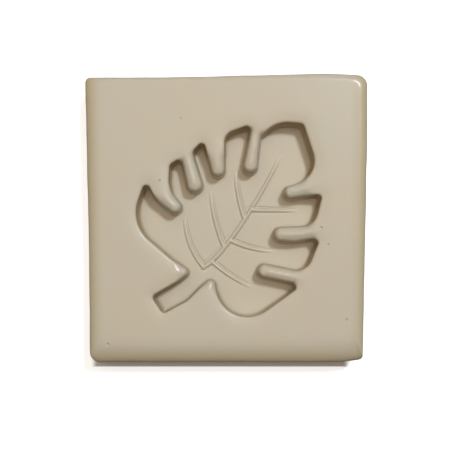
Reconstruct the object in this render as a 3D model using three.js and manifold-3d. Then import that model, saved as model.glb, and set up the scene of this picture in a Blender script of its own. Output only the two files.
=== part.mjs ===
// A silicone rubber mold: one soft block, cast in a single pour, with a leaf-shaped
// cavity in its top face. Clay or resin pressed into it comes out as a veined leaf.
//
// Millimetres, +X to the right, +Y to the back, +Z up out of the cavity's mouth.
// The origin is on the table, under the middle of the block.

import * as THREE from 'three';
import { mergeVertices } from 'three/addons/utils/BufferGeometryUtils.js';
import Module from 'manifold-3d';

const { degToRad, mapLinear } = THREE.MathUtils;

// Block
const BLOCK_WIDTH = 70.9; // across the back, where it is widest
const BLOCK_LENGTH = 72.8; // front to back, at the swell of the back side
const FLOOR_THICKNESS = 5; // rubber left under the cavity
const CAVITY_DEPTH = 6;
const BLOCK_HEIGHT = FLOOR_THICKNESS + CAVITY_DEPTH;

// The block was poured in a box knocked together by hand, so no side is quite square
const LEFT_LEAN = 1.2; // how far the left side has come in by the front corner
const RIGHT_LEAN = 1.1;
const LEFT_WAIST = 0.9; // how far it has come in by the middle
const BACK_FALL = 0.9; // from the swell of the back side down to its left end
const BACK_RIGHT_FALL = 0.4;
const FRONT_RIGHT_LIFT = 0.6; // the front edge turns up before its right corner
const SHARP_CORNER = 1.25; // plan radius, back left and front right
const SOFT_CORNER = 2.6; // plan radius, back right and front left
const CORNER_SAG = 0.1; // the back left corner has sunk a little further still
const SWELL_RADIUS = 10; // of the gentle bends along the back side
const SIDE_BEND_RADIUS = 50; // of the gentle bends along the left and right sides
const FRONT_TURN_IN = 6.5; // from the right side to where the front edge turns up
const SWELL_RIGHT_IN = 9.8; // from the right side to the right end of the swell
const SWELL_LEFT_IN = 24; // from the left side to the left end of the swell
const RIGHT_BEND_BACK = 16.5; // from the back side to where the right side bends
const WAIST_FRONT = 42.4; // from the back side to the left side's waist

// The top edge rolls over much further at the front, where the rubber sank as it set
const ROLL = { left: 3, right: 2.4, front: 6.5, back: 2.2 };
const ROLL_DROP = 2.2;
const UNDER_EDGE = 1; // rounding of the edge that rests on the table

// Cavity
const LEAF_GRID = 1; // pitch of the squared paper that the leaf and its veins are drawn on
const RIM_RADIUS = 1.2; // the rubber curls over into the cavity
const WALL_DRAFT = degToRad(4.5); // so that a cast lets go
const FOOT_RADIUS = 0.4; // where the wall meets the floor
const TONGUE_SKIN = 0.2; // least radius left on a tongue inside its rim
const LEAST_CORNER = 0.12; // no corner of the cavity closes tighter than this

// Veins stand up from the floor as ridges, and press grooves into the cast leaf
const MIDRIB_WIDTH = 1.6;
const VEIN_WIDTH = 1.25;
const VEIN_HEIGHT = 0.5;
const VEIN_ROOT = 0.3; // how far a ridge is rooted in the floor
const VEIN_TIP_SHARE = 0.4; // width and height left at a ridge's tip

// Faceting
const ARC_STEP = degToRad(15);
const ARC_CHORD = 1.2; // and no chord of an arc is longer than this
const ROLL_STEPS = 5;
const UNDER_STEPS = 3;
const RIM_STEPS = 4;
const FOOT_STEPS = 2;
const VEIN_STATIONS = 11;
const VEIN_RING_ANGLES = [30, 60, 80].map(degToRad); // up the half-round section of a ridge
const CUT_CLEARANCE = 1; // how far the cutter stands out of the mouth

const RUBBER = new THREE.MeshStandardMaterial({ color: 0xcabda6, roughness: 0.55, metalness: 0 });

// An outline here is a taut belt run anticlockwise round pins. It passes outside a
// bulge and inside a notch, so every corner is an arc and every side is its tangent.
const bulge = (x, y, radius) => ({ x, y, radius, turn: 1 });
const notch = (x, y, radius) => ({ x, y, radius, turn: -1 });

const LEFT = -BLOCK_WIDTH / 2;
const RIGHT = BLOCK_WIDTH / 2;
const FRONT = -BLOCK_LENGTH / 2;
const BACK = BLOCK_LENGTH / 2;

const BLOCK_PINS = [
  bulge(LEFT + LEFT_LEAN + SOFT_CORNER, FRONT + SOFT_CORNER, SOFT_CORNER),
  bulge(RIGHT - RIGHT_LEAN - FRONT_TURN_IN, FRONT + SOFT_CORNER, SOFT_CORNER),
  bulge(RIGHT - RIGHT_LEAN - SHARP_CORNER, FRONT + FRONT_RIGHT_LIFT + SHARP_CORNER, SHARP_CORNER),
  bulge(RIGHT - SIDE_BEND_RADIUS, BACK - RIGHT_BEND_BACK, SIDE_BEND_RADIUS),
  bulge(RIGHT - SOFT_CORNER, BACK - BACK_RIGHT_FALL - SOFT_CORNER, SOFT_CORNER),
  bulge(RIGHT - SWELL_RIGHT_IN, BACK - SWELL_RADIUS, SWELL_RADIUS),
  notch(LEFT + SWELL_LEFT_IN, BACK - BACK_FALL + SWELL_RADIUS, SWELL_RADIUS),
  bulge(LEFT + SHARP_CORNER, BACK - BACK_FALL - CORNER_SAG - SHARP_CORNER, SHARP_CORNER),
  notch(LEFT + LEFT_WAIST - SIDE_BEND_RADIUS, BACK - WAIST_FRONT, SIDE_BEND_RADIUS),
];

// The leaf lies across the block, its stem to the front left and its tip to the back
// right. A bulge is a corner or a belly of the leaf, a notch is the round end of a
// tongue of rubber between two lobes.
const LEAF_DRAWING = [
  bulge(-15.55, -22.65, 0.95), // stem, near corner
  bulge(-14.3, -14.55, 7.5), // stem, under side
  notch(-4.05, -16.85, 1.4), // crook between the stem and the lower lobe
  bulge(5.4, -16.65, 8), // lower lobe, belly
  bulge(16.55, -17.25, 0.95), // lower lobe, point
  notch(9.6, -13.05, 1.6), // first tongue on the right
  bulge(17.8, -9.2, 3.8), // first right lobe, shoulder
  bulge(22.1, -6.25, 0.95), // first right lobe, point
  notch(17.05, -3.95, 2.1), // second tongue, flank
  notch(13.9, -3.95, 1.85), // second tongue, end
  bulge(19.2, 1.85, 3.75), // second right lobe, shoulder
  bulge(22.7, 4.95, 0.95), // second right lobe, point
  notch(16.3, 6.65, 1.7), // third tongue
  bulge(16.3, 14.45, 5.8), // tip lobe, right side
  bulge(18.4, 22.55, 1.25), // tip lobe, far corner
  bulge(15.4, 16.55, 7.5), // tip lobe, crown
  bulge(9.75, 20.15, 1.05), // tip lobe, left corner
  notch(6.1, 13.4, 1.85), // first tongue on the left
  bulge(5.1, 22.15, 0.95), // first left lobe, point
  bulge(2.6, 19.05, 3), // first left lobe, shoulder
  notch(-2.1, 12.45, 1.8), // second tongue on the left
  bulge(-6.2, 17.75, 0.95), // second left lobe, point
  bulge(-6.45, 16.3, 1.8), // second left lobe, shoulder
  notch(-8, 8.05, 2), // third tongue on the left
  bulge(-12.1, 13.65, 0.95), // third left lobe, point
  bulge(-12.65, 12.55, 1.6), // third left lobe, shoulder
  bulge(-7.35, 9.75, 7), // third left lobe, outer side
  notch(-13.05, 3.05, 1.7), // fourth tongue on the left, end
  notch(-10.02, 10.5, 9.5), // fourth tongue on the left, flank
  bulge(-20.1, 7.25, 0.95), // basal lobe, point
  bulge(-13.4, 1.55, 9.15), // basal lobe, belly
  bulge(-4.6, 1.7, 15), // basal lobe, under side
  notch(-11.1, -13.55, 1.45), // crook between the basal lobe and the stem
  bulge(-17.35, -19.95, 0.95), // stem, far corner
];
const LEAF_PINS = LEAF_DRAWING.map(({ x, y, radius, turn }) => ({
  x: x * LEAF_GRID,
  y: y * LEAF_GRID,
  radius: radius * LEAF_GRID,
  turn,
}));

const MIDRIB = { from: [-5.6, -11.75], pulls: [[2.6, -3.55], [9.2, 7]], to: [14.1, 16.85] };

// A side vein leaves the midrib at a share of its length
const SIDE_VEINS = [
  { share: 0.03, pull: [-10, -5.75], to: [-10.1, 1.45] },
  { share: 0.26, pull: [-3, -0.4], to: [-3.6, 7.3] },
  { share: 0.48, pull: [3.15, 6.35], to: [2.6, 12.1] },
  { share: 0.54, pull: [12.05, 2.5], to: [18, 2.8] },
  { share: 0.28, pull: [5.9, -7.5], to: [11.6, -7.5] },
  { share: 0.1, pull: [1.2, -15.1], to: [6.4, -16.6] },
];

const onGrid = ([x, y]) => new THREE.Vector2(x * LEAF_GRID, y * LEAF_GRID);

// Outward normal of the belt's straight run from one pin to the next
function runNormal(pin, next, radius, nextRadius) {
  const along = new THREE.Vector2(next.x - pin.x, next.y - pin.y);
  const lean = (radius - nextRadius) / along.length();
  along.normalize();
  const square = Math.sqrt(1 - lean * lean);
  return new THREE.Vector2(lean * along.x + square * along.y, lean * along.y - square * along.x);
}

// Where the belt meets and leaves each pin, moved outward by grow
function beltTurns(pins, grow) {
  const radii = pins.map(({ radius, turn }) => turn * Math.max(radius + turn * grow, LEAST_CORNER));
  const normals = pins.map((pin, i) => {
    const j = (i + 1) % pins.length;
    return runNormal(pin, pins[j], radii[i], radii[j]);
  });
  return pins.map((pin, i) => {
    const start = normals.at(i - 1).angle();
    const swing = THREE.MathUtils.euclideanModulo(normals[i].angle() - start, 2 * Math.PI);
    return { pin, radius: radii[i], start, swing: pin.turn > 0 ? swing : swing - 2 * Math.PI };
  });
}

// Points of the belt. Every growth of one belt has the same number, so rings of them loft.
function belt(pins, grow = 0) {
  const stepCounts = beltTurns(pins, 0).map(({ radius, swing }) =>
    Math.ceil(Math.max(Math.abs(swing) / ARC_STEP, Math.abs(swing * radius) / ARC_CHORD)),
  );
  return beltTurns(pins, grow).flatMap(({ pin, radius, start, swing }, i) =>
    Array.from({ length: stepCounts[i] + 1 }, (_, k) => {
      const angle = start + (swing * k) / stepCounts[i];
      return new THREE.Vector2(pin.x + radius * Math.cos(angle), pin.y + radius * Math.sin(angle));
    }),
  );
}

const atHeight = (points, z) => points.map((point) => new THREE.Vector3(point.x, point.y, z));

// Closed solid through level rings, lowest first, each running anticlockwise
function loft(rings) {
  const count = rings[0].length;
  const positions = rings.flat().flatMap((point) => [point.x, point.y, point.z]);
  const faces = [];
  for (let row = 0; row < rings.length - 1; row += 1) {
    for (let k = 0; k < count; k += 1) {
      const low = row * count + k;
      const lowNext = row * count + ((k + 1) % count);
      faces.push(low, lowNext, lowNext + count, low, lowNext + count, low + count);
    }
  }
  const flat = (ring) => ring.map(({ x, y }) => new THREE.Vector2(x, y));
  const cap = (ring) => THREE.ShapeUtils.triangulateShape(flat(ring), []);
  for (const [a, b, c] of cap(rings[0])) faces.push(a, c, b);
  const top = (rings.length - 1) * count;
  for (const [a, b, c] of cap(rings.at(-1))) faces.push(top + a, top + b, top + c);
  const geometry = new THREE.BufferGeometry();
  geometry.setAttribute('position', new THREE.Float32BufferAttribute(positions, 3));
  geometry.setIndex(faces);
  return geometry;
}

// Quarter of a round from 0 to 1: how far it has gone in, and how much of the drop is left
function quarter(steps) {
  return Array.from({ length: steps + 1 }, (_, k) => {
    const angle = (k / steps) * (Math.PI / 2);
    return { inward: 1 - Math.cos(angle), left: 1 - Math.sin(angle) };
  });
}

// The block's outline drawn in from each side by a share of that side's reach
function drawnIn(points, reach, share) {
  return points.map(
    ({ x, y }) =>
      new THREE.Vector2(
        mapLinear(x, LEFT, RIGHT, LEFT + reach.left * share, RIGHT - reach.right * share),
        mapLinear(y, FRONT, BACK, FRONT + reach.front * share, BACK - reach.back * share),
      ),
  );
}

function block() {
  const outline = belt(BLOCK_PINS);
  const evenReach = { left: UNDER_EDGE, right: UNDER_EDGE, front: UNDER_EDGE, back: UNDER_EDGE };
  const under = quarter(UNDER_STEPS)
    .reverse()
    .map(({ inward, left }) => atHeight(drawnIn(outline, evenReach, inward), UNDER_EDGE * left));
  const over = quarter(ROLL_STEPS).map(({ inward, left }) =>
    atHeight(drawnIn(outline, ROLL, inward), BLOCK_HEIGHT - ROLL_DROP * left),
  );
  return loft([...under, ...over]);
}

// The rim may not close a tongue of rubber over its round end
function rimRadius() {
  const notches = LEAF_PINS.filter(({ turn }) => turn < 0).map(({ radius }) => radius);
  return Math.min(RIM_RADIUS, Math.min(...notches) - TONGUE_SKIN);
}

// What the cavity takes out of the block: foot, drafted wall, rim and a stub above the mouth
function cavity() {
  const rim = rimRadius();
  const rimStart = BLOCK_HEIGHT - rim;
  const footTop = FLOOR_THICKNESS + FOOT_RADIUS;
  const footInset = (rimStart - footTop) * Math.tan(WALL_DRAFT);
  const foot = quarter(FOOT_STEPS)
    .reverse()
    .map(({ inward, left }) => ({
      grow: -footInset - FOOT_RADIUS * inward,
      z: FLOOR_THICKNESS + FOOT_RADIUS * left,
    }));
  const curl = quarter(RIM_STEPS).map(({ inward, left }) => ({
    grow: rim * inward,
    z: BLOCK_HEIGHT - rim * left,
  }));
  const stub = { grow: rim, z: BLOCK_HEIGHT + CUT_CLEARANCE };
  return loft([...foot, ...curl, stub].map(({ grow, z }) => atHeight(belt(LEAF_PINS, grow), z)));
}

// One ring of a ridge: up its left flank and back down its right one
function ridgeRing(path, width, widthShare, heightAt) {
  const station = (k) => k / (VEIN_STATIONS - 1);
  const flank = (t, side) => {
    const taper = THREE.MathUtils.lerp(1, VEIN_TIP_SHARE, t);
    const reach = (side * width * widthShare * taper) / 2;
    const at = path.getPointAt(t);
    const heading = path.getTangentAt(t);
    return new THREE.Vector3(at.x + heading.y * reach, at.y - heading.x * reach, heightAt(taper));
  };
  const out = Array.from({ length: VEIN_STATIONS }, (_, k) => flank(station(k), 1));
  const home = Array.from({ length: VEIN_STATIONS }, (_, k) => flank(1 - station(k), -1));
  return [...out, ...home];
}

// A ridge of half-round section that thins and sinks towards its tip
function ridge(path, width) {
  const buried = ridgeRing(path, width, 1, () => FLOOR_THICKNESS - VEIN_ROOT);
  const rounded = VEIN_RING_ANGLES.map((angle) => {
    const heightAt = (taper) => FLOOR_THICKNESS + VEIN_HEIGHT * taper * Math.sin(angle);
    return ridgeRing(path, width, Math.cos(angle), heightAt);
  });
  return loft([buried, ...rounded]);
}

function veins() {
  const [from, firstPull, secondPull, to] = [MIDRIB.from, ...MIDRIB.pulls, MIDRIB.to].map(onGrid);
  const midrib = new THREE.CubicBezierCurve(from, firstPull, secondPull, to);
  const sides = SIDE_VEINS.map((vein) => {
    const root = midrib.getPointAt(vein.share);
    return ridge(new THREE.QuadraticBezierCurve(root, onGrid(vein.pull), onGrid(vein.to)), VEIN_WIDTH);
  });
  return [ridge(midrib, MIDRIB_WIDTH), ...sides];
}

const wasm = await Module();
wasm.setup();

function toSolid(geometry) {
  const merged = mergeVertices(geometry);
  return new wasm.Manifold(
    new wasm.Mesh({
      numProp: 3,
      vertProperties: merged.getAttribute('position').array,
      triVerts: Uint32Array.from(merged.getIndex().array),
    }),
  );
}

function toGeometry(solid) {
  const { vertProperties, triVerts } = solid.getMesh();
  const geometry = new THREE.BufferGeometry();
  geometry.setAttribute('position', new THREE.Float32BufferAttribute(vertProperties, 3));
  geometry.setIndex(Array.from(triVerts));
  geometry.computeVertexNormals();
  return geometry;
}

function moldBlock() {
  const hollowed = toSolid(block()).subtract(toSolid(cavity()));
  const veined = veins().map(toSolid).reduce((solid, vein) => solid.add(vein), hollowed);
  const mesh = new THREE.Mesh(toGeometry(veined), RUBBER);
  mesh.name = 'mold_block';
  return mesh;
}

const mold = new THREE.Group();
mold.add(moldBlock());

export default mold;
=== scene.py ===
"""Looks of a silicone craft mold: one cream rubber block with a leaf-shaped cavity.

Lengths are millimetres until a finished mesh is scaled to metres. +X is right, +Y is
back and +Z is up out of the cavity's mouth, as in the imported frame.
"""

import logging
import math
from collections.abc import Callable, Iterable
from dataclasses import dataclass, field
from enum import Enum

import bmesh
import bpy
from mathutils import Euler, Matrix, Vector, noise
from mathutils.geometry import interpolate_bezier
from mathutils.kdtree import KDTree


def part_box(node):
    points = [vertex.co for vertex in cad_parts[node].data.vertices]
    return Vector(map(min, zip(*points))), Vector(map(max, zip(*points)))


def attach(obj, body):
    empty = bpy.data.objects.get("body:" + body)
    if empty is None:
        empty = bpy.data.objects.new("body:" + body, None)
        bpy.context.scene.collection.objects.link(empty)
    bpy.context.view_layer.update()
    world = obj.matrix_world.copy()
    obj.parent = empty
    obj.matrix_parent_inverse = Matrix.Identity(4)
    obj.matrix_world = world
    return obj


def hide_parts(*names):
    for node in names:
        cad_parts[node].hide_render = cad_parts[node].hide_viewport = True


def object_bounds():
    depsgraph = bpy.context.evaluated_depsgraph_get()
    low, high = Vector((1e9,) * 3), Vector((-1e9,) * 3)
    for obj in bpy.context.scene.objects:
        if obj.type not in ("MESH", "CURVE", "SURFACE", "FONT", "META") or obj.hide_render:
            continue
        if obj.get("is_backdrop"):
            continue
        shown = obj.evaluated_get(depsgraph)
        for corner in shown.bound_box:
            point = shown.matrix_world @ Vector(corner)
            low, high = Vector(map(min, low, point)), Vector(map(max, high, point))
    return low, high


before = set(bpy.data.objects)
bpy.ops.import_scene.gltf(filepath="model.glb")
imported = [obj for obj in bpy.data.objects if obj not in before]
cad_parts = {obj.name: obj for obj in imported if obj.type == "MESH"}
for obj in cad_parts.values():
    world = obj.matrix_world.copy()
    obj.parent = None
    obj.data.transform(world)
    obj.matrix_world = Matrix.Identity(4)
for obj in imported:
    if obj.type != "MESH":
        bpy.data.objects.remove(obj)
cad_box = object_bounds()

logging.basicConfig(level=logging.INFO, format="%(message)s")
log = logging.getLogger("silicone_mold")

# Mesh attribute for painted shade on the cavity's walls, rim and floor along the wall's foot
PAINTED_SHADE = "painted_shade"
MM = 0.001
UP = Vector((0.0, 0.0, 1.0))
WHITE = (1.0, 1.0, 1.0, 1.0)

# Gives a height or an amount at a point in plan
ValueAt = Callable[[float, float], float]
Verts = list[bmesh.types.BMVert]
Edges = list[bmesh.types.BMEdge]


class Turn(Enum):
    """Which way a taut belt bends round a pin."""

    BULGE = 1
    NOTCH = -1


@dataclass(frozen=True)
class Pin:
    """A round pin that an outline's belt bends round."""

    x: float
    y: float
    radius: float
    turn: Turn


@dataclass(frozen=True)
class Station:
    """A point of an outline and the direction that points out of it there."""

    at: Vector
    out: Vector

    def moved(self, grow: float, z: float = 0.0) -> Vector:
        """The point moved outward by grow, at height z."""
        return Vector((*(self.at + grow * self.out), z))


def bulge(x: float, y: float, radius: float) -> Pin:
    """A pin that the belt passes outside, which makes a corner or a belly."""
    return Pin(x, y, radius, Turn.BULGE)


def notch(x: float, y: float, radius: float) -> Pin:
    """A pin that the belt passes inside, which makes the end of a tongue or a waist."""
    return Pin(x, y, radius, Turn.NOTCH)


@dataclass(frozen=True)
class Belt:
    """An outline run anticlockwise round pins, so every side is tangent to two arcs."""

    pins: tuple[Pin, ...]
    spacing: float
    turn_step: float = math.radians(9)

    def stations(self) -> list[Station]:
        """Points all the way round.

        Returns:
            Stations no further apart than the spacing, in order.
        """
        found = []
        runs = [self._run_angle(i) for i in range(len(self.pins))]
        for i, pin in enumerate(self.pins):
            swing = (runs[i] - runs[i - 1]) % math.tau
            if pin.turn is Turn.NOTCH:
                swing -= math.tau
            start = runs[i - 1]
            arc = abs(swing) * pin.radius
            steps = math.ceil(max(arc / self.spacing, abs(swing) / self.turn_step))
            found += [self._on_pin(pin, start + swing * k / steps) for k in range(steps + 1)]
            ahead = self._on_pin(self.pins[(i + 1) % len(self.pins)], runs[i])
            found += self._between(found[-1], ahead)
        return found

    def _run_angle(self, i: int) -> float:
        """Direction out of the straight run that follows pin i.

        Args:
            i: The pin's number.

        Returns:
            The angle from +X, in radians.
        """
        pin, ahead = self.pins[i], self.pins[(i + 1) % len(self.pins)]
        along = Vector((ahead.x - pin.x, ahead.y - pin.y))
        lean = (pin.turn.value * pin.radius - ahead.turn.value * ahead.radius) / along.length
        return math.atan2(along.y, along.x) - math.acos(lean)

    def _on_pin(self, pin: Pin, angle: float) -> Station:
        """The belt's point on a pin where it faces the angle."""
        out = Vector((math.cos(angle), math.sin(angle)))
        return Station(Vector((pin.x, pin.y)) + pin.turn.value * pin.radius * out, out)

    def _between(self, start: Station, end: Station) -> list[Station]:
        """Evenly spaced stations strictly between two others on a straight run.

        Args:
            start: Where the run leaves a pin.
            end: Where it meets the next pin.

        Returns:
            The stations between them.
        """
        steps = math.ceil((end.at - start.at).length / self.spacing)
        return [Station(start.at.lerp(end.at, k / steps), start.out) for k in range(1, steps)]


def search_tree(points: Iterable[Vector]) -> KDTree:
    """Sorts points for quick searches.

    Args:
        points: The points, which the tree numbers in order.

    Returns:
        The balanced tree.
    """
    points = tuple(points)
    tree = KDTree(len(points))
    for i, point in enumerate(points):
        tree.insert(point, i)
    tree.balance()
    return tree


class Outline:
    """Closed line of stations that can be asked for its nearest one."""

    def __init__(self, stations: list[Station]) -> None:
        """Sorts the stations for quick searches.

        Args:
            stations: The line's points, in order.
        """
        self.stations = stations
        self._tree = search_tree(station.moved(0.0) for station in stations)

    def nearest(self, x: float, y: float) -> tuple[int, float]:
        """The nearest station and how far outside it a point lies.

        Args:
            x: The point's place to the right.
            y: The point's place to the back.

        Returns:
            The station's number and the distance, negative inside the line.
        """
        _, i, distance = self._tree.find(Vector((x, y, 0.0)))
        station = self.stations[i]
        outside = (Vector((x, y)) - station.at).dot(station.out) >= 0
        return i, distance if outside else -distance

    def laid_on(self, height: ValueAt, grow: float) -> list[Vector]:
        """The line moved outward by grow and laid on the surface that height gives."""
        line = [station.moved(grow) for station in self.stations]
        return [Vector((p.x, p.y, height(p.x, p.y))) for p in line]

    def room(self, i: int, most: float, step: float = 0.1, slack: float = 0.025) -> float:
        """How far out of a station one can go before another part of the line is nearer.

        Args:
            i: The station's number.
            most: The distance at which the search ends.
            step: Distance between tries.
            slack: How much nearer another part has to be to count.

        Returns:
            Half the width of the tongue there, or most where the land is wider.
        """
        station = self.stations[i]
        gone = step
        while gone < most:
            point = station.moved(gone)
            if self._tree.find(point)[2] < gone - slack:
                return gone - step
            gone += step
        return most


def rolling_mean(values: list[float], reach: int) -> list[float]:
    """Evens out values that run round a closed line.

    Args:
        values: One value for each station.
        reach: How many neighbours on each side count.

    Returns:
        The evened values.
    """
    count = len(values)
    window = 2 * reach + 1
    total = sum(values[k % count] for k in range(-reach, reach + 1))
    evened = []
    for i in range(count):
        evened.append(total / window)
        total += values[(i + reach + 1) % count] - values[(i - reach) % count]
    return evened


@dataclass(frozen=True)
class Vein:
    """A ridge on the cavity's floor that thins and sinks to its tip, with a groove.

    The master's vein was scored with a blade that leaned, which threw up a burr towards
    the back right. The cast turns the score into the ridge and the burr into the groove.
    """

    points: tuple[Vector, ...]
    width: float
    # Share of the width left at the tip, where along it the vein starts to sink, how
    # sharply its sides fall and how flat its crown is
    tip_share: float = 0.7
    sink_from: float = 0.5
    side_fall: float = 1.35
    crown: int = 4
    # The groove's place and reach, in half widths of the ridge
    groove_at: float = 1.2
    groove_reach: float = 0.4
    burr_side: Vector = field(default_factory=lambda: Vector((0.7, 0.7, 0.0)))

    def shape(self, tree: KDTree, x: float, y: float) -> tuple[float, float]:
        """How much of the ridge and of the groove there is at a point.

        Args:
            tree: The vein's points, sorted for searches.
            x: The point's place to the right.
            y: The point's place to the back.

        Returns:
            A share of the ridge's height and one of the groove's depth, from 0 to 1.
        """
        point = Vector((x, y, 0.0))
        nearest, i, aside = tree.find(point)
        burr = 0.5 + 0.5 * (point - nearest).normalized().dot(self.burr_side)
        along = i / (len(self.points) - 1)
        taper = 1 - (1 - self.tip_share) * along
        sunk = max(along - self.sink_from, 0.0) / (1 - self.sink_from)
        share = 2 * aside / (self.width * taper)
        left = (1 - sunk**2) * taper
        ridge = math.exp(-((self.side_fall * share) ** self.crown))
        groove = math.exp(-(((share - self.groove_at) / self.groove_reach) ** 2))
        return left * ridge, left * burr * groove


@dataclass
class LeafVeins:
    """The midrib and the side veins that press lines into the cast leaf."""

    midrib: tuple[tuple[float, float], ...] = (
        (-5.86, -12.25),
        (-0.6, -9.5),
        (9.2, 6.3),
        (14.1, 16.6),
    )
    # A side vein leaves the midrib at a share of its length, bends to the first point
    # and ends at the second
    sides: tuple[tuple[float, tuple[float, float], tuple[float, float]], ...] = (
        (0.0, (-10.6, -6.6), (-10.75, 1.05)),
        (0.28, (-3.65, 0.0), (-4.0, 7.5)),
        (0.52, (2.5, 6.2), (2.45, 12.4)),
        (0.59, (12.4, 2.3), (18.3, 2.3)),
        (0.35, (6.3, -8.0), (12.1, -8.2)),
        (0.12, (0.9, -14.9), (6.35, -17.4)),
    )
    # Share of a side vein's bend that each handle of its curve takes
    bend_share: float = 2 / 3
    midrib_width: float = 1.5
    side_width: float = 1.3
    midrib_sink: float = 0.75
    ridge: float = 0.5
    groove: float = 0.38
    steps: int = 160

    def __post_init__(self) -> None:
        """Draws the centre lines."""
        start, first, second, end = (Vector((x, y, 0.0)) for x, y in self.midrib)
        spine = interpolate_bezier(start, first, second, end, self.steps)
        veins = [Vein(tuple(spine), self.midrib_width, sink_from=self.midrib_sink)]
        for share, pull, tip in self.sides:
            root = spine[round(share * (self.steps - 1))]
            bend, end = Vector((*pull, 0.0)), Vector((*tip, 0.0))
            leaving, arriving = (place.lerp(bend, self.bend_share) for place in (root, end))
            line = interpolate_bezier(root, leaving, arriving, end, self.steps)
            veins.append(Vein(tuple(line), self.side_width))
        self._veins = [(vein, search_tree(vein.points)) for vein in veins]

    def rise(self, x: float, y: float) -> float:
        """Height of the veins at a point of the floor; a ridge runs through grooves.

        Args:
            x: The point's place to the right.
            y: The point's place to the back.

        Returns:
            The height over the floor, negative in a groove.
        """
        shapes = [vein.shape(tree, x, y) for vein, tree in self._veins]
        ridge, groove = (max(shares) for shares in zip(*shapes))
        return self.ridge * ridge - self.groove * groove * (1 - ridge)

    def near(self, x: float, y: float, reach: float) -> bool:
        """Whether a point of the floor lies within reach of a vein."""
        point = Vector((x, y, 0.0))
        return any(tree.find(point)[2] < reach for _, tree in self._veins)


@dataclass
class LeafCavity:
    """The leaf-shaped hollow: outline, rim, wall, foot and floor."""

    top: float
    depth: float = 6.0
    spacing: float = 0.36
    draft: float = math.radians(3)
    foot_radius: float = 0.2
    # Rim: a curl at the wall, and a wide gentle fall of the land towards it
    curl_reach: float = 0.65
    curl_drop: float = 0.5
    tongue_drop: float = 2.1
    land_fall: float = 0.45
    land_reach: float = 3.6
    # Land this narrow is a tongue, wholly so once it is narrower by the blend. The search
    # goes a share further, and its finds are evened out along the rim
    tongue_half_width: float = 2.3
    tongue_blend: float = 0.3
    search_share: float = 1.3
    evening: float = 1.2
    # Rows of faces, and how far out those of the rim go
    row_reach: float = 0.7
    rim_rows: int = 8
    wall_rows: int = 6
    foot_rows: int = 4
    # Painted shade on the cavity's walls and on the floor at their foot: its share at the wall's
    # foot, how far it runs over the rim and out on the floor, and the shares taken off it on the
    # tongues and the near walls
    foot_shade: float = 0.6
    shade_reach: float = 0.25
    floor_shade_reach: float = 0.7
    tongue_shade_cut: float = 0.75
    near_shade_cut: float = 0.8
    near_focus: int = 4
    pins: tuple[Pin, ...] = (
        bulge(-15.55, -22.65, 0.95),  # stem, near corner
        bulge(-14.3, -14.55, 7.5),  # stem, under side
        notch(-4.05, -16.85, 1.4),  # crook between the stem and the lower lobe
        bulge(5.4, -16.65, 8.0),  # lower lobe, belly
        bulge(16.6, -17.4, 0.9),  # lower lobe, point
        notch(9.7, -13.2, 1.75),  # first tongue on the right
        bulge(17.8, -9.2, 3.8),  # first right lobe, shoulder
        bulge(22.1, -6.25, 0.95),  # first right lobe, point
        notch(17.05, -3.95, 2.1),  # second tongue, flank
        notch(13.9, -3.95, 1.85),  # second tongue, end
        bulge(19.2, 1.85, 3.75),  # second right lobe, shoulder
        bulge(22.9, 4.95, 0.95),  # second right lobe, point
        notch(16.3, 6.65, 1.7),  # third tongue
        bulge(16.3, 14.45, 5.8),  # tip lobe, right side
        bulge(18.4, 22.55, 1.25),  # tip lobe, far corner
        bulge(15.4, 16.55, 7.5),  # tip lobe, crown
        bulge(9.75, 20.15, 1.05),  # tip lobe, left corner
        notch(6.1, 13.4, 1.85),  # first tongue on the left
        bulge(5.1, 22.15, 0.95),  # first left lobe, point
        bulge(2.6, 19.05, 3.0),  # first left lobe, shoulder
        notch(-2.1, 12.45, 1.8),  # second tongue on the left
        bulge(-6.2, 17.75, 0.95),  # second left lobe, point
        bulge(-6.45, 16.3, 1.8),  # second left lobe, shoulder
        notch(-8.0, 8.65, 2.0),  # third tongue on the left
        bulge(-12.1, 13.65, 0.95),  # third left lobe, point
        bulge(-12.65, 12.55, 1.6),  # third left lobe, shoulder
        bulge(-7.35, 9.75, 7.0),  # third left lobe, outer side
        notch(-13.05, 3.05, 1.7),  # fourth tongue on the left, end
        notch(-10.02, 10.5, 9.5),  # fourth tongue on the left, flank
        bulge(-20.1, 7.25, 0.95),  # basal lobe, point
        bulge(-13.4, 1.55, 9.15),  # basal lobe, belly
        bulge(-4.6, 1.7, 15.0),  # basal lobe, under side
        notch(-11.1, -13.55, 1.45),  # crook between the basal lobe and the stem
        bulge(-17.35, -19.95, 0.95),  # stem, far corner
    )
    veins: LeafVeins = field(default_factory=LeafVeins)

    def __post_init__(self) -> None:
        """Draws the outline and finds where the land is a narrow tongue."""
        self.outline = Outline(Belt(self.pins, self.spacing).stations())
        count, widest = len(self.outline.stations), self.tongue_half_width
        room = [self.outline.room(i, self.search_share * widest) for i in range(count)]
        narrow = [min(max((widest - half) / self.tongue_blend, 0.0), 1.0) for half in room]
        evening = round(self.evening / self.spacing)
        self._narrow = rolling_mean(narrow, evening)
        room = rolling_mean([min(half, widest) for half in room], evening)
        self._reach = [
            self.curl_reach + (half - self.curl_reach) * share
            for half, share in zip(room, self._narrow)
        ]

    @property
    def floor(self) -> float:
        """Height of the cavity's floor."""
        return self.top - self.depth

    def rim_fall(self, x: float, y: float) -> float:
        """How far the land has fallen towards the cavity at a point.

        Args:
            x: The point's place to the right.
            y: The point's place to the back.

        Returns:
            The fall in millimetres.
        """
        i, away = self.outline.nearest(x, y)
        away = max(away, 0.0)
        left = max(1 - away / self._reach[i], 0.0)
        drop = self.curl_drop + (self.tongue_drop - self.curl_drop) * self._narrow[i]
        curl = drop * (1 - math.sqrt(1 - left * left))
        return curl + self.land_fall * max(1 - away / self.land_reach, 0.0) ** 2

    def foot_inset(self) -> float:
        """How far the floor's edge lies inside the outline."""
        wall = self.depth - self.curl_drop - self.foot_radius
        return wall * math.tan(self.draft) + self.foot_radius

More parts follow.
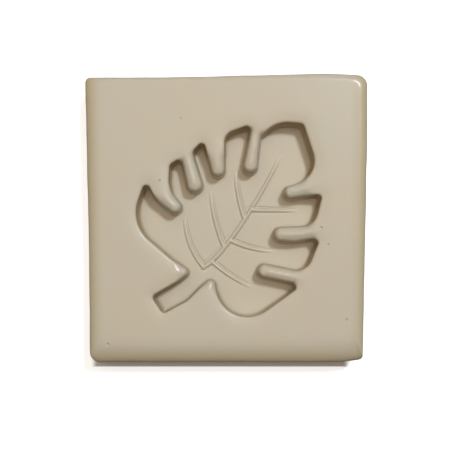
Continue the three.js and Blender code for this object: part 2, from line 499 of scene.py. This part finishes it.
    def floor_height(self, x: float, y: float) -> float:
        """Height of the floor and its veins at a point."""
        return self.floor + self.veins.rise(x, y)

    def rings(self, land_height: ValueAt) -> list[list[Vector]]:
        """Level and sloping rings from the floor's edge up to the land.

        Args:
            land_height: Gives the height of the land at a point.

        Returns:
            The rings, lowest first, each with one point for each station.
        """
        stations = self.outline.stations
        inset = self.foot_inset() - self.foot_radius
        rings = []
        for k in range(self.foot_rows + 1):
            angle = math.pi / 2 * k / self.foot_rows
            grow = -inset - self.foot_radius * (1 - math.sin(angle))
            z = self.floor + self.foot_radius * (1 - math.cos(angle))
            rings.append([station.moved(grow, z) for station in stations])
        foot_top = self.floor + self.foot_radius
        rim = [self.outline.laid_on(land_height, grow) for grow in self._rim_steps()]
        for k in range(1, self.wall_rows):
            share = k / self.wall_rows
            grow = -inset * (1 - share)
            heights = [foot_top + (edge.z - foot_top) * share for edge in rim[0]]
            rings.append([station.moved(grow, z) for station, z in zip(stations, heights)])
        return rings + rim

    def _rim_steps(self) -> list[float]:
        """How far out each row of the rim lies; the first is on the outline."""
        return [self.row_reach * (k / self.rim_rows) ** 2 for k in range(self.rim_rows + 1)]

    def painted_shade(self) -> list[list[float]]:
        """How much painted shade darkens the cavity's rings, darkest along the rim.

        Returns:
            For each ring, a share from 0 to 1 at each station.
        """
        foot = [self.foot_shade] * (self.foot_rows + 1)
        rise = 1 - self.foot_shade
        wall = [self.foot_shade + rise * k / self.wall_rows for k in range(1, self.wall_rows)]
        rim = [max(1 - grow / self.shade_reach, 0.0) for grow in self._rim_steps()]
        kept = [self._shade_kept(i) for i in range(len(self._narrow))]
        low = [[share * part for part in kept] for share in (*foot, *wall)]
        return low + [[share] * len(kept) for share in rim]

    def floor_shade(self, x: float, y: float) -> float:
        """How much painted shade there is at a point of the floor, most at the wall's foot.

        Args:
            x: The point's place to the right.
            y: The point's place to the back.

        Returns:
            A share from 0 to 1.
        """
        i, away = self.outline.nearest(x, y)
        left = max(1 + (away + self.foot_inset()) / self.floor_shade_reach, 0.0)
        return self.foot_shade * left**2 * self._shade_kept(i)

    def _shade_kept(self, i: int) -> float:
        """Share of the painted shade kept at a station, least on the tongues and near walls."""
        near = max(-self.outline.stations[i].out.y, 0.0) ** self.near_focus
        return 1 - max(self.tongue_shade_cut * self._narrow[i], self.near_shade_cut * near)


class Side(Enum):
    """The four sides of the block."""

    LEFT = "left"
    RIGHT = "right"
    FRONT = "front"
    BACK = "back"


@dataclass(frozen=True)
class Roll:
    """How far a side's top edge rolls over: in from the side and down."""

    reach: float
    drop: float


@dataclass
class BlockBody:
    """The block's plan outline, rolled top edge, sides and rounded lower edge."""

    width: float
    length: float
    height: float
    spacing: float = 0.5
    # How far the sides and corners stray from a true rectangle
    left_lean: float = 1.2
    right_lean: float = 1.1
    left_waist: float = 0.9
    back_fall: float = 0.9
    back_right_fall: float = 0.4
    front_right_lift: float = 0.6
    corner_sag: float = 0.1
    # Radii of the corners and bends
    sharp_corner: float = 1.25
    soft_corner: float = 2.6
    front_bend: float = 12.0
    swell_radius: float = 10.0
    side_bend_radius: float = 50.0
    # Where the bends lie, in from the right, left or back side
    front_turn_in: float = 6.5
    swell_right_in: float = 9.8
    swell_left_in: float = 24.0
    right_bend_back: float = 16.5
    waist_front: float = 42.4
    # Rounding below, and rows of faces in the roll, the side and the rounding
    under_edge: float = 1.0
    roll_rows: int = 14
    side_rows: int = 6
    under_rows: int = 3
    # Unevenness of the top face and waviness of the sides: depth and size of a wave
    undulation: float = 0.05
    undulation_size: float = 14.0
    wave: float = 0.1
    wave_size: float = 7.0
    rolls: dict[Side, Roll] = field(
        default_factory=lambda: {
            Side.LEFT: Roll(3.5, 1.3),
            Side.RIGHT: Roll(2.2, 1.2),
            Side.FRONT: Roll(7.0, 3.0),
            Side.BACK: Roll(1.8, 1.2),
        }
    )

    def __post_init__(self) -> None:
        """Draws the plan outline."""
        left, right = -self.width / 2, self.width / 2
        front, back = -self.length / 2, self.length / 2
        soft, sharp, bend_in = self.soft_corner, self.sharp_corner, self.front_bend
        swell, bend = self.swell_radius, self.side_bend_radius
        pins = (
            bulge(left + self.left_lean + soft, front + soft, soft),
            bulge(right - self.right_lean - self.front_turn_in, front + bend_in, bend_in),
            bulge(right - self.right_lean - sharp, front + self.front_right_lift + sharp, sharp),
            bulge(right - bend, back - self.right_bend_back, bend),
            bulge(right - soft, back - self.back_right_fall - soft, soft),
            bulge(right - self.swell_right_in, back - swell, swell),
            notch(left + self.swell_left_in, back - self.back_fall + swell, swell),
            bulge(left + sharp, back - self.back_fall - self.corner_sag - sharp, sharp),
            notch(left + self.left_waist - bend, back - self.waist_front, bend),
        )
        self.stations = [
            Station(station.at + self.sway(station) * station.out, station.out)
            for station in Belt(pins, self.spacing).stations()
        ]

    def sway(self, station: Station) -> float:
        """How far the side of a hand-poured block strays from a true line."""
        place = Vector((*station.at, 0.0)) / self.wave_size
        return self.wave * noise.noise(place)

    def drawn_in(self, station: Station, share: float) -> Vector:
        """A point of the outline drawn in by a share of each side's roll.

        Args:
            station: The point on the outline.
            share: 0 on the outline, 1 where the roll meets the flat land.

        Returns:
            The point in plan.
        """
        x_share = station.at.x / self.width + 0.5
        y_share = station.at.y / self.length + 0.5
        rolls = self.rolls
        x = rolls[Side.LEFT].reach * (1 - x_share) - rolls[Side.RIGHT].reach * x_share
        y = rolls[Side.FRONT].reach * (1 - y_share) - rolls[Side.BACK].reach * y_share
        return station.at + share * Vector((x, y))

    def drop(self, station: Station) -> float:
        """How deep the roll is at a station, between those of the two sides it faces.

        Args:
            station: The point on the outline.

        Returns:
            The depth in millimetres.
        """
        across, along = station.out.x, station.out.y
        side = self.rolls[Side.RIGHT if across > 0 else Side.LEFT]
        end = self.rolls[Side.BACK if along > 0 else Side.FRONT]
        return across**2 * side.drop + along**2 * end.drop

    def sink(self, x: float, y: float) -> float:
        """Slow unevenness of the poured top face, in millimetres."""
        place = Vector((x, y, 0.0)) / self.undulation_size
        return self.undulation * noise.noise(place)

    def rings(self, land_height: ValueAt) -> list[list[Vector]]:
        """Rings from the land's edge over the roll and down to the underside.

        Args:
            land_height: Gives the height of the land at a point.

        Returns:
            The rings, highest first, each with one point for each station.
        """
        rings = []
        for k in range(self.roll_rows + 1):
            angle = math.pi / 2 * (1 - k / self.roll_rows)
            ring = []
            for station in self.stations:
                place = self.drawn_in(station, 1 - math.cos(angle))
                fall = self.drop(station) * (1 - math.sin(angle))
                ring.append(Vector((*place, land_height(*place) - fall)))
            rings.append(ring)
        rim = rings[-1]
        for k in range(1, self.side_rows + 1):
            share = k / self.side_rows
            rings.append([Vector((p.x, p.y, p.z + (self.under_edge - p.z) * share)) for p in rim])
        for k in range(1, self.under_rows + 1):
            angle = math.pi / 2 * k / self.under_rows
            grow = -self.under_edge * (1 - math.cos(angle))
            z = self.under_edge * (1 - math.sin(angle))
            rings.append([station.moved(grow, z) for station in self.stations])
        return rings


def add_object(name: str, data: bpy.types.ID) -> bpy.types.Object:
    """Adds an object to the scene.

    Args:
        name: Its name.
        data: Its mesh, lamp or camera.

    Returns:
        The object, at the origin.
    """
    made = bpy.data.objects.new(name, data)
    bpy.context.scene.collection.objects.link(made)
    return made


def unique(items: Iterable) -> list:
    """The items without repeats, in the order in which they came."""
    return list(dict.fromkeys(items))


class Skin:
    """Mesh under construction, grown ring by ring and closed with sheets."""

    def __init__(self) -> None:
        """Starts an empty mesh."""
        self.bm = bmesh.new()
        self._order = self.bm.verts.layers.int.new("station")
        # Share of painted shade at each vertex, from 0 to 1
        self._painted_shade = self.bm.verts.layers.float.new(PAINTED_SHADE)

    def ring(self, points: list[Vector]) -> Edges:
        """Lays a first ring of edges.

        Args:
            points: Where the ring's vertices go.

        Returns:
            The ring's edges.
        """
        made = bmesh.ops.create_circle(self.bm, segments=len(points), radius=1.0)["verts"]
        for i, (vert, point) in enumerate(zip(made, points)):
            vert.co = point
            vert[self._order] = i
        return unique(edge for vert in made for edge in vert.link_edges)

    def tube(
        self, rings: list[list[Vector]], painted_shade: list[list[float]] | None = None
    ) -> tuple[Edges, Edges]:
        """Runs a skin through rings by extruding the first one.

        Args:
            rings: The rings' points; all rings have the same number.
            painted_shade: How much painted shade lies on each point, from 0 to 1; none if left
                out.

        Returns:
            The edges of the first ring and of the last one.
        """
        painted_shade = painted_shade or [[0.0] * len(points) for points in rings]
        first = edges = self.ring(rings[0])
        for vert in {vert for edge in first for vert in edge.verts}:
            vert[self._painted_shade] = painted_shade[0][vert[self._order]]
        for points, shares in zip(rings[1:], painted_shade[1:]):
            grown = bmesh.ops.extrude_edge_only(self.bm, edges=edges)["geom"]
            edges = [item for item in grown if isinstance(item, bmesh.types.BMEdge)]
            for vert in (item for item in grown if isinstance(item, bmesh.types.BMVert)):
                vert.co = points[vert[self._order]]
                vert[self._painted_shade] = shares[vert[self._order]]
            edges = [edge for edge in edges if len(edge.link_faces) == 1]
        return first, edges

    def sheet(
        self,
        spacing: float,
        half: float,
        keep: Callable[[float, float], bool],
        height: ValueAt,
    ) -> tuple[Verts, Edges]:
        """Lays an even grid where there is room for it.

        Args:
            spacing: Width of a square.
            half: Half the width of the whole grid.
            keep: Says whether a point of the grid is wanted.
            height: Gives the height of the sheet at a point.

        Returns:
            The grid's vertices and its border edges.
        """
        count = round(2 * half / spacing)
        made = bmesh.ops.create_grid(self.bm, x_segments=count, y_segments=count, size=half)
        verts = made["verts"]
        spare = [vert for vert in verts if not keep(vert.co.x, vert.co.y)]
        while spare:
            gone = set(spare)
            verts = [vert for vert in verts if vert not in gone]
            bmesh.ops.delete(self.bm, geom=spare, context="VERTS")
            spare = [vert for vert in verts if self._is_frail(vert)]
        for vert in verts:
            vert.co.z = height(vert.co.x, vert.co.y)
        edges = unique(edge for vert in verts for edge in vert.link_edges)
        return verts, [edge for edge in edges if edge.is_boundary]

    def refine(self, fine: Callable[[Vector], bool], cuts: int = 1) -> Verts:
        """Halves the faces where finer detail is needed.

        Args:
            fine: Says whether the detail is fine at a point.
            cuts: How many times the faces are halved.

        Returns:
            All vertices where the detail is fine.
        """
        for _ in range(cuts):
            inner = [vert for vert in self.bm.verts if fine(vert.co)]
            known = set(inner)
            faces = unique(face for vert in inner for face in vert.link_faces)
            faces = [face for face in faces if known.issuperset(face.verts)]
            edges = unique(edge for face in faces for edge in face.edges)
            bmesh.ops.subdivide_edges(self.bm, edges=edges, cuts=1, use_grid_fill=True)
            odd = [face for face in self.bm.faces if len(face.verts) > 4]
            bmesh.ops.triangulate(self.bm, faces=odd, ngon_method="BEAUTY")
        return [vert for vert in self.bm.verts if fine(vert.co)]

    def paint_shade(self, verts: Verts, painted_shade: ValueAt) -> None:
        """Lays painted shade on a sheet's vertices, by a function that gives it from 0 to 1."""
        for vert in verts:
            vert[self._painted_shade] = painted_shade(vert.co.x, vert.co.y)

    def _is_frail(self, vert: bmesh.types.BMVert) -> bool:
        """Whether a grid's vertex hangs by a loose edge or only a corner.

        Args:
            vert: The vertex.

        Returns:
            Whether the grid is better off without it.
        """
        edges = vert.link_edges
        border = sum(edge.is_boundary for edge in edges)
        return not vert.link_faces or border > 2 or any(edge.is_wire for edge in edges)

    def fill(self, edges: Edges, height: ValueAt) -> None:
        """Closes the space between loops of edges with triangles.

        The loops are laid flat for it, so that the triangles are judged in plan.

        Args:
            edges: The edges of one or more nested loops.
            height: Gives the height of the loops at a point.
        """
        verts = {vert for edge in edges for vert in edge.verts}
        for vert in verts:
            vert.co.z = 0.0
        bmesh.ops.triangle_fill(
            self.bm, use_beauty=True, use_dissolve=False, edges=edges, normal=UP
        )
        for vert in verts:
            vert.co.z = height(vert.co.x, vert.co.y)

    def finish(self, name: str) -> bpy.types.Object:
        """Turns the faces outward, scales to metres and makes the object.

        Args:
            name: The piece's name.

        Returns:
            The finished object, at the origin.
        """
        bm = self.bm
        bmesh.ops.recalc_face_normals(bm, faces=bm.faces)
        bmesh.ops.scale(bm, vec=(MM, MM, MM), verts=bm.verts)
        for face in bm.faces:
            face.smooth = True
        loose = [edge for edge in bm.edges if len(edge.link_faces) != 2]
        log.info("%s: %d faces, %d open edges", name, len(bm.faces), len(loose))
        mesh = bpy.data.meshes.new(name)
        bm.to_mesh(mesh)
        bm.free()
        return add_object(name, mesh)


@dataclass(frozen=True)
class Pit:
    """A small bowl that an air bubble left in the poured surface."""

    x: float
    y: float
    radius: float
    # Depth of the bowl and reach of the finer mesh round it, in radii
    depth_share: float = 1.3
    reach_share: float = 2.8

    def depth(self, x: float, y: float) -> float:
        """How deep the bowl is at a point."""
        share = math.hypot(x - self.x, y - self.y) / self.radius
        return self.depth_share * self.radius * max(1 - share * share, 0.0)

    def near(self, x: float, y: float) -> bool:
        """Whether a point lies in the bowl or just round it."""
        return math.hypot(x - self.x, y - self.y) < self.reach_share * self.radius


@dataclass
class MoldBlock:
    """The whole casting: block, land, leaf cavity and veins in one skin."""

    node: str
    body: BlockBody
    cavity: LeafCavity
    pits: tuple[Pit, ...] = (
        Pit(-29.7, -31.6, 0.34),
        Pit(30.1, -25.4, 0.3),
        Pit(-16.7, 9.4, 0.32),
        Pit(23.8, -2.4, 0.32),
        Pit(-11.4, 24.9, 0.24),
        Pit(25.6, -6.6, 0.28),
    )
    land_spacing: float = 0.38
    floor_spacing: float = 0.24
    vein_reach: float = 1.6
    # Least gap from a sheet to the rings round it, in squares of the sheet
    clearance: float = 0.6
    # Smoothing that takes the crease off the crests of the tongues
    crest_passes: int = 6
    crest_ease: float = 0.5
    pit_cuts: int = 3
    # What counts as the top face, as a share of the height, and as the cavity's floor
    top_from: float = 0.7
    floor_slack: float = 1.0

    def land_height(self, x: float, y: float) -> float:
        """Height of the top face at a point."""
        return self.body.height - self.cavity.rim_fall(x, y) - abs(self.body.sink(x, y))

    def in_pit(self, at: Vector) -> bool:
        """Whether a point lies in a bubble's pit or just round it."""
        above = at.z > self.top_from * self.body.height
        return above and any(pit.near(at.x, at.y) for pit in self.pits)

    def build(self, finish: "SiliconeFinish") -> bpy.types.Object:
        """Builds the skin and dresses it.

        Args:
            finish: The rubber's finish.

        Returns:
            The finished piece.
        """
        skin = Skin()
        rings = self.cavity.rings(self.land_height)
        # The cavity's rings carry painted shade down the walls and along the rim
        floor_edge, rim_edge = skin.tube(rings, self.cavity.painted_shade())
        land_edge, under_edge = skin.tube(self.body.rings(self.land_height))
        self._lay_land(skin, land_edge, rim_edge)
        self._lay_floor(skin, floor_edge)
        skin.fill(under_edge, lambda x, y: 0.0)
        piece = skin.finish(f"{self.node}_skin")
        piece.data.materials.append(finish.material())
        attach(piece, "root")
        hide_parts(self.node)
        return piece

    def _lay_land(self, skin: Skin, land_edge: Edges, rim_edge: Edges) -> None:
        """Closes the top face between the roll and the rim.

        Args:
            skin: The mesh.
            land_edge: Edges where the outer roll starts.
            rim_edge: Edges where the cavity's rim starts.
        """
        inner = [Station(self.body.drawn_in(s, 1.0), s.out) for s in self.body.stations]
        border = Outline(inner)
        room = self.clearance * self.land_spacing
        rim = self.cavity.row_reach + room

        def keep(x: float, y: float) -> bool:
            """Whether a point lies on the land, clear of both edges."""
            inside = border.nearest(x, y)[1] <= -room
            return inside and self.cavity.outline.nearest(x, y)[1] > rim

        half = math.ceil(self.body.length / 2)
        verts, edges = skin.sheet(self.land_spacing, half, keep, self.land_height)
        skin.fill([*edges, *land_edge, *rim_edge], self.land_height)
        for _ in range(self.crest_passes):
            bmesh.ops.smooth_vert(skin.bm, verts=verts, factor=self.crest_ease, use_axis_z=True)
        for vert in skin.refine(self.in_pit, self.pit_cuts):
            vert.co.z -= max(pit.depth(vert.co.x, vert.co.y) for pit in self.pits)

    def _lay_floor(self, skin: Skin, floor_edge: Edges) -> None:
        """Closes the cavity's floor and raises the veins on it.

        Args:
            skin: The mesh.
            floor_edge: Edges of the floor, at the foot of the wall.
        """
        cavity = self.cavity
        room = self.clearance * self.floor_spacing + cavity.foot_inset()

        def keep(x: float, y: float) -> bool:
            """Whether a point lies on the floor, clear of the wall's foot."""
            return cavity.outline.nearest(x, y)[1] < -room

        def on_vein(at: Vector) -> bool:
            """Whether a point lies on a vein or its groove."""
            on_floor = abs(at.z - cavity.floor) <= self.floor_slack and keep(at.x, at.y)
            return on_floor and cavity.veins.near(at.x, at.y, self.vein_reach)

        reach = [abs(c) for station in cavity.outline.stations for c in station.at]
        half = math.ceil(max(reach))
        verts, edges = skin.sheet(self.floor_spacing, half, keep, cavity.floor_height)
        skin.fill([*edges, *floor_edge], cavity.floor_height)
        # Painted shade on the floor along the wall's foot
        skin.paint_shade(verts, cavity.floor_shade)
        for vert in skin.refine(on_vein):
            vert.co.z = cavity.floor_height(vert.co.x, vert.co.y)


def linear(hex_colour: str) -> tuple[float, float, float, float]:
    """An sRGB hex colour as linear RGBA.

    Args:
        hex_colour: Six hex digits after a hash.

    Returns:
        Red, green, blue and an alpha of 1.
    """
    values = [int(hex_colour[i : i + 2], 16) / 255 for i in (1, 3, 5)]
    bent = [v / 12.92 if v <= 0.04045 else ((v + 0.055) / 1.055) ** 2.4 for v in values]
    return (*bent, 1.0)


def empty_tree(owner: bpy.types.Material | bpy.types.World) -> bpy.types.NodeTree:
    """Starts the nodes of a material or world.

    Args:
        owner: The material or world.

    Returns:
        Its node tree, with no nodes in it.
    """
    owner.use_nodes = True
    owner.node_tree.nodes.clear()
    return owner.node_tree


def add_node(
    tree: bpy.types.NodeTree,
    kind: str,
    settings: dict[str, object] | None = None,
    inputs: dict[str | int, object] | None = None,
) -> bpy.types.Node:
    """Adds a shader node, sets it up and links it.

    Args:
        tree: The node tree.
        kind: The node's type.
        settings: Properties of the node, by name.
        inputs: By the socket's name or number, a value or the output that feeds it.

    Returns:
        The new node.
    """
    node = tree.nodes.new(kind)
    for name, value in (settings or {}).items():
        setattr(node, name, value)
    for key, value in (inputs or {}).items():
        socket = node.inputs[key]
        if isinstance(value, bpy.types.NodeSocket):
            tree.links.new(value, socket)
        else:
            socket.default_value = value
    return node


def outside_box(
    tree: bpy.types.NodeTree,
    away: Iterable[bpy.types.NodeSocket],
    start: Iterable[float],
    end: Iterable[float],
    most: float = 1.0,
) -> bpy.types.NodeSocket:
    """A value that rises softly from 0 in a box in plan to its most outside it.

    Args:
        tree: The node tree.
        away: How far from the box's middle a point is along each side.
        start: Where the rise starts along each side, in millimetres.
        end: Where it ends.
        most: The value there.

    Returns:
        The value.
    """
    values = []
    for place, low, high in zip(away, start, end):
        value = add_node(
            tree,
            "ShaderNodeMapRange",
            {"interpolation_type": "SMOOTHSTEP"},
            {"Value": place, "From Min": low * MM, "From Max": high * MM, "To Max": most},
        )
        values.append(value.outputs[0])
    both = add_node(tree, "ShaderNodeMath", {"operation": "MAXIMUM"}, dict(enumerate(values)))
    return both.outputs[0]


@dataclass(frozen=True)
class SiliconeFinish:
    """Tin-cured silicone rubber, poured and left to set: satin under a thin oil film."""

    body: str = "#b9b7a8"
    warm: str = "#c0b4a0"
    # Olive painted shade on the block's rolled left, right and front edges
    edge_shade: str = "#b1a586"
    # Brown painted shade on the cavity's walls
    painted_shade: str = "#8f7850"
    # Box of the painted edge shade: half its width and length, and how far in from the sides it
    # reaches
    half_width_mm: float = 35.4
    half_length_mm: float = 36.4
    edge_shade_reach_mm: float = 5.0
    roughness: float = 0.6
    refraction: float = 1.41
    oil: float = 0.35
    oil_roughness: float = 0.22
    # Red light runs farthest in the rubber, which warms its thin edges
    scatter: float = 0.25
    scatter_mm: float = 0.25
    scatter_reach: tuple[float, float, float] = (1.0, 0.55, 0.28)
    cloud_mm: float = 16.0
    cloud_detail: float = 3.0
    grain_mm: float = 0.5
    grain_detail: float = 2.0
    grain_height_mm: float = 0.006

    def material(self) -> bpy.types.Material:
        """The rubber's material.

        Returns:
            A node material that reads Object coordinates.
        """
        material = bpy.data.materials.new("poured_silicone_rubber")
        tree = empty_tree(material)
        place = add_node(tree, "ShaderNodeTexCoord").outputs["Object"]
        # Slow clouding where the two parts of the mix weren't stirred quite evenly
        cloud = add_node(
            tree,
            "ShaderNodeTexNoise",
            inputs={
                "Vector": place,
                "Scale": 1 / (self.cloud_mm * MM),
                "Detail": self.cloud_detail,
            },
        )
        # Painted shade, brown, on the cavity's walls and the floor at their foot, which draws the
        # leaf's edge dark
        painted_shade = add_node(tree, "ShaderNodeAttribute", {"attribute_name": PAINTED_SHADE})
        layers = (
            (cloud.outputs["Fac"], self.warm),
            # Painted shade, olive, on the block's rolled left, right and front edges
            (self._edge_shade_share(tree, place), self.edge_shade),
            (painted_shade.outputs["Fac"], self.painted_shade),
        )
        colour = linear(self.body)
        for share, tint in layers:
            mix = add_node(
                tree,
                "ShaderNodeMix",
                {"data_type": "RGBA"},
                {"Factor": share, "A": colour, "B": linear(tint)},
            )
            colour = mix.outputs[2]
        # Fine satin grain that the skin takes as it sets, which breaks up its highlights
        grain = add_node(
            tree,
            "ShaderNodeTexNoise",
            inputs={
                "Vector": place,
                "Scale": 1 / (self.grain_mm * MM),
                "Detail": self.grain_detail,
            },
        )
        bump = add_node(
            tree,
            "ShaderNodeBump",
            inputs={
                "Height": grain.outputs["Fac"],
                "Distance": self.grain_height_mm * MM,
                "Strength": 1.0,
            },
        )
        shader = add_node(
            tree,
            "ShaderNodeBsdfPrincipled",
            inputs={
                "Base Color": colour,
                "Roughness": self.roughness,
                "IOR": self.refraction,
                "Coat Weight": self.oil,
                "Coat Roughness": self.oil_roughness,
                "Coat Normal": bump.outputs["Normal"],
                "Subsurface Weight": self.scatter,
                "Subsurface Radius": self.scatter_reach,
                "Subsurface Scale": self.scatter_mm * MM,
                "Normal": bump.outputs["Normal"],
            },
        )
        add_node(tree, "ShaderNodeOutputMaterial", inputs={"Surface": shader.outputs["BSDF"]})
        return material

    def _edge_shade_share(
        self, tree: bpy.types.NodeTree, place: bpy.types.NodeSocket
    ) -> bpy.types.NodeSocket:
        """Painted shade, olive, on the block's rolled left, right and front edges, not on the back
        one.
        """
        axes = add_node(tree, "ShaderNodeSeparateXYZ", inputs={"Vector": place})
        aside = add_node(tree, "ShaderNodeMath", {"operation": "ABSOLUTE"}, {0: axes.outputs["X"]})
        ahead = add_node(
            tree, "ShaderNodeMath", {"operation": "MULTIPLY"}, {0: axes.outputs["Y"], 1: -1.0}
        )
        away = (aside.outputs[0], ahead.outputs[0])
        end = (self.half_width_mm, self.half_length_mm)
        return outside_box(tree, away, [half - self.edge_shade_reach_mm for half in end], end)


@dataclass(frozen=True)
class Lamp:
    """A round lamp: its pull on a surface that faces it, where it stands and its width.

    Angles are in degrees. Tilt is from straight overhead, turn is from the right towards
    the back, and spread is how wide the lamp looks from the mold.
    """

    name: str
    pull: float
    tilt: float
    turn: float
    spread: float
    colour: str
    away: float

    def light(self) -> None:
        """Puts the lamp in the scene, facing the mold."""
        away, half = self.away * MM, math.radians(self.spread / 2)
        data = bpy.data.lights.new(self.name, "AREA")
        data.shape = "DISK"
        data.size = 2 * away * math.tan(half)
        data.energy = self.pull * math.pi * away**2 / math.cos(half) ** 2
        data.color = linear(self.colour)[:3]
        lamp = add_object(self.name, data)
        stand = Euler((0.0, math.radians(self.tilt), math.radians(self.turn)))
        lamp.rotation_euler = stand
        lamp.location = stand.to_matrix() @ (away * UP)


@dataclass
class Studio:
    """Pale floor, a key lamp at the back right, a broad one overhead and the camera."""

    top: float
    floor_size: float = 700.0
    floor_seen: str = "#eef4fc"
    floor_bounce: str = "#8c8c8c"
    floor_glow: float = 0.62
    # Painted contact shadow: a box where the paper doesn't glow, so the mold's shadow shows only
    # in the strip of it that is seen. Half its size, its middle and its blur
    contact_shadow_half: tuple[float, float] = (32.5, 20.3)
    contact_shadow_middle: tuple[float, float, float] = (-1.5, -17.9, 0.0)
    contact_shadow_blur: tuple[float, float] = (1.7, 0.4)
    lamps: tuple[Lamp, ...] = (
        Lamp("key", pull=1.78, tilt=28.5, turn=51, spread=8, colour="#eaf5ff", away=1000),
        Lamp("overhead", pull=1.52, tilt=10, turn=110, spread=76, colour="#ffead2", away=240),
    )
    fill: float = 0.03
    fill_colour: str = "#ffd9b8"
    # The camera's place, and the middle and width of what it sees at the top face
    camera_over_top: float = 200.0
    camera_at: tuple[float, float] = (-0.3, -14.0)
    view_at: tuple[float, float] = (-0.3, -1.75)
    view_width: float = 112.5
    sensor: float = 36.0
    near_clip: float = 10.0

    def set_up(self) -> None:
        """Builds the floor, the two lamps, the fill and the camera."""
        self._floor()
        for lamp in self.lamps:
            lamp.light()
        self._world()
        self._camera()
        bpy.context.scene.view_settings.view_transform = "Standard"

    def _floor(self) -> None:
        """A flat pale floor that reads as white paper; its glow fades the mold's shadow but for a
        painted contact strip.
        """
        bm = bmesh.new()
        bmesh.ops.create_grid(bm, x_segments=1, y_segments=1, size=self.floor_size * MM / 2)
        mesh = bpy.data.meshes.new("floor")
        bm.to_mesh(mesh)
        bm.free()
        floor = add_object("floor", mesh)
        material = bpy.data.materials.new("pale_paper")
        tree = empty_tree(material)
        rays = add_node(tree, "ShaderNodeLightPath")
        seen = rays.outputs["Is Camera Ray"]
        glow = add_node(
            tree, "ShaderNodeMath", {"operation": "MULTIPLY"}, {0: seen, 1: self._glow(tree)}
        )
        colour = add_node(
            tree,
            "ShaderNodeMix",
            {"data_type": "RGBA"},
            {"Factor": seen, "A": linear(self.floor_bounce), "B": linear(self.floor_seen)},
        )
        shader = add_node(
            tree,
            "ShaderNodeBsdfPrincipled",
            inputs={
                "Base Color": colour.outputs[2],
                "Roughness": 1.0,
                "Specular IOR Level": 0.0,
                "Emission Color": WHITE,
                "Emission Strength": glow.outputs[0],
            },
        )
        add_node(tree, "ShaderNodeOutputMaterial", inputs={"Surface": shader.outputs["BSDF"]})
        mesh.materials.append(material)
        floor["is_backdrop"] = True

    def _glow(self, tree: bpy.types.NodeTree) -> bpy.types.NodeSocket:
        """How strongly the paper glows, which takes it to white but for the painted contact
        shadow.
        The glow is left out of a box along the mold's front side, so the mold's shadow shows there
        as a dark strip; elsewhere the glow whitens it.

        Returns:
            The strength of the glow.
        """
        place = add_node(tree, "ShaderNodeTexCoord").outputs["Object"]
        middle = Vector(self.contact_shadow_middle) * MM
        away = add_node(
            tree, "ShaderNodeVectorMath", {"operation": "SUBTRACT"}, {0: place, 1: middle}
        )
        away = add_node(
            tree, "ShaderNodeVectorMath", {"operation": "ABSOLUTE"}, {0: away.outputs[0]}
        )
        axes = add_node(tree, "ShaderNodeSeparateXYZ", inputs={"Vector": away.outputs[0]})
        start = self.contact_shadow_half
        end = [half + blur for half, blur in zip(start, self.contact_shadow_blur)]
        return outside_box(tree, axes.outputs, start, end, self.floor_glow)

    def _world(self) -> None:
        """Even fill for the object, and white where the camera or gloss looks past it."""
        world = bpy.data.worlds.new("studio")
        tree = empty_tree(world)
        rays = add_node(tree, "ShaderNodeLightPath")
        seen = rays.outputs["Is Camera Ray"]
        for kind in ("Is Glossy Ray", "Is Transmission Ray"):
            either = add_node(
                tree,
                "ShaderNodeMath",
                {"operation": "MAXIMUM"},
                {0: seen, 1: rays.outputs[kind]},
            )
            seen = either.outputs[0]
        fill = add_node(
            tree,
            "ShaderNodeBackground",
            inputs={"Color": linear(self.fill_colour), "Strength": self.fill},
        )
        paper = add_node(tree, "ShaderNodeBackground", inputs={"Color": WHITE, "Strength": 1.0})
        both = add_node(
            tree,
            "ShaderNodeMixShader",
            inputs={0: seen, 1: fill.outputs[0], 2: paper.outputs[0]},
        )
        add_node(tree, "ShaderNodeOutputWorld", inputs={"Surface": both.outputs[0]})
        bpy.context.scene.world = world

    def _camera(self) -> None:
        """A camera high over the mold's front part, as the photograph was taken.

        It looks straight down and its lens is shifted, so the top face isn't keystoned.
        """
        data = bpy.data.cameras.new("camera")
        data.sensor_width = self.sensor
        data.lens = self.sensor * self.camera_over_top / self.view_width
        data.shift_x = (self.view_at[0] - self.camera_at[0]) / self.view_width
        data.shift_y = (self.view_at[1] - self.camera_at[1]) / self.view_width
        data.clip_start = self.near_clip * MM
        camera = add_object("camera", data)
        height = self.top + self.camera_over_top
        camera.location = Vector((*self.camera_at, height)) * MM
        bpy.context.scene.camera = camera


def main() -> None:
    """Builds the mold and the studio, and reports each piece."""
    node = "mold_block"
    low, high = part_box(node)
    size = (high - low) / MM
    body = BlockBody(width=size.x, length=size.y, height=size.z)
    cavity = LeafCavity(top=body.height)
    piece = MoldBlock(node, body, cavity).build(SiliconeFinish())
    log.info("%s: %d vertices", piece.name, len(piece.data.vertices))
    Studio(top=body.height).set_up()
    log.info("studio: floor, two lamps, fill and camera")
    boxes = {"cad": cad_box, "visual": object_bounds()}
    {name: [list(corner) for corner in box] for name, box in boxes.items()}


if __name__ == "__main__":
    main()
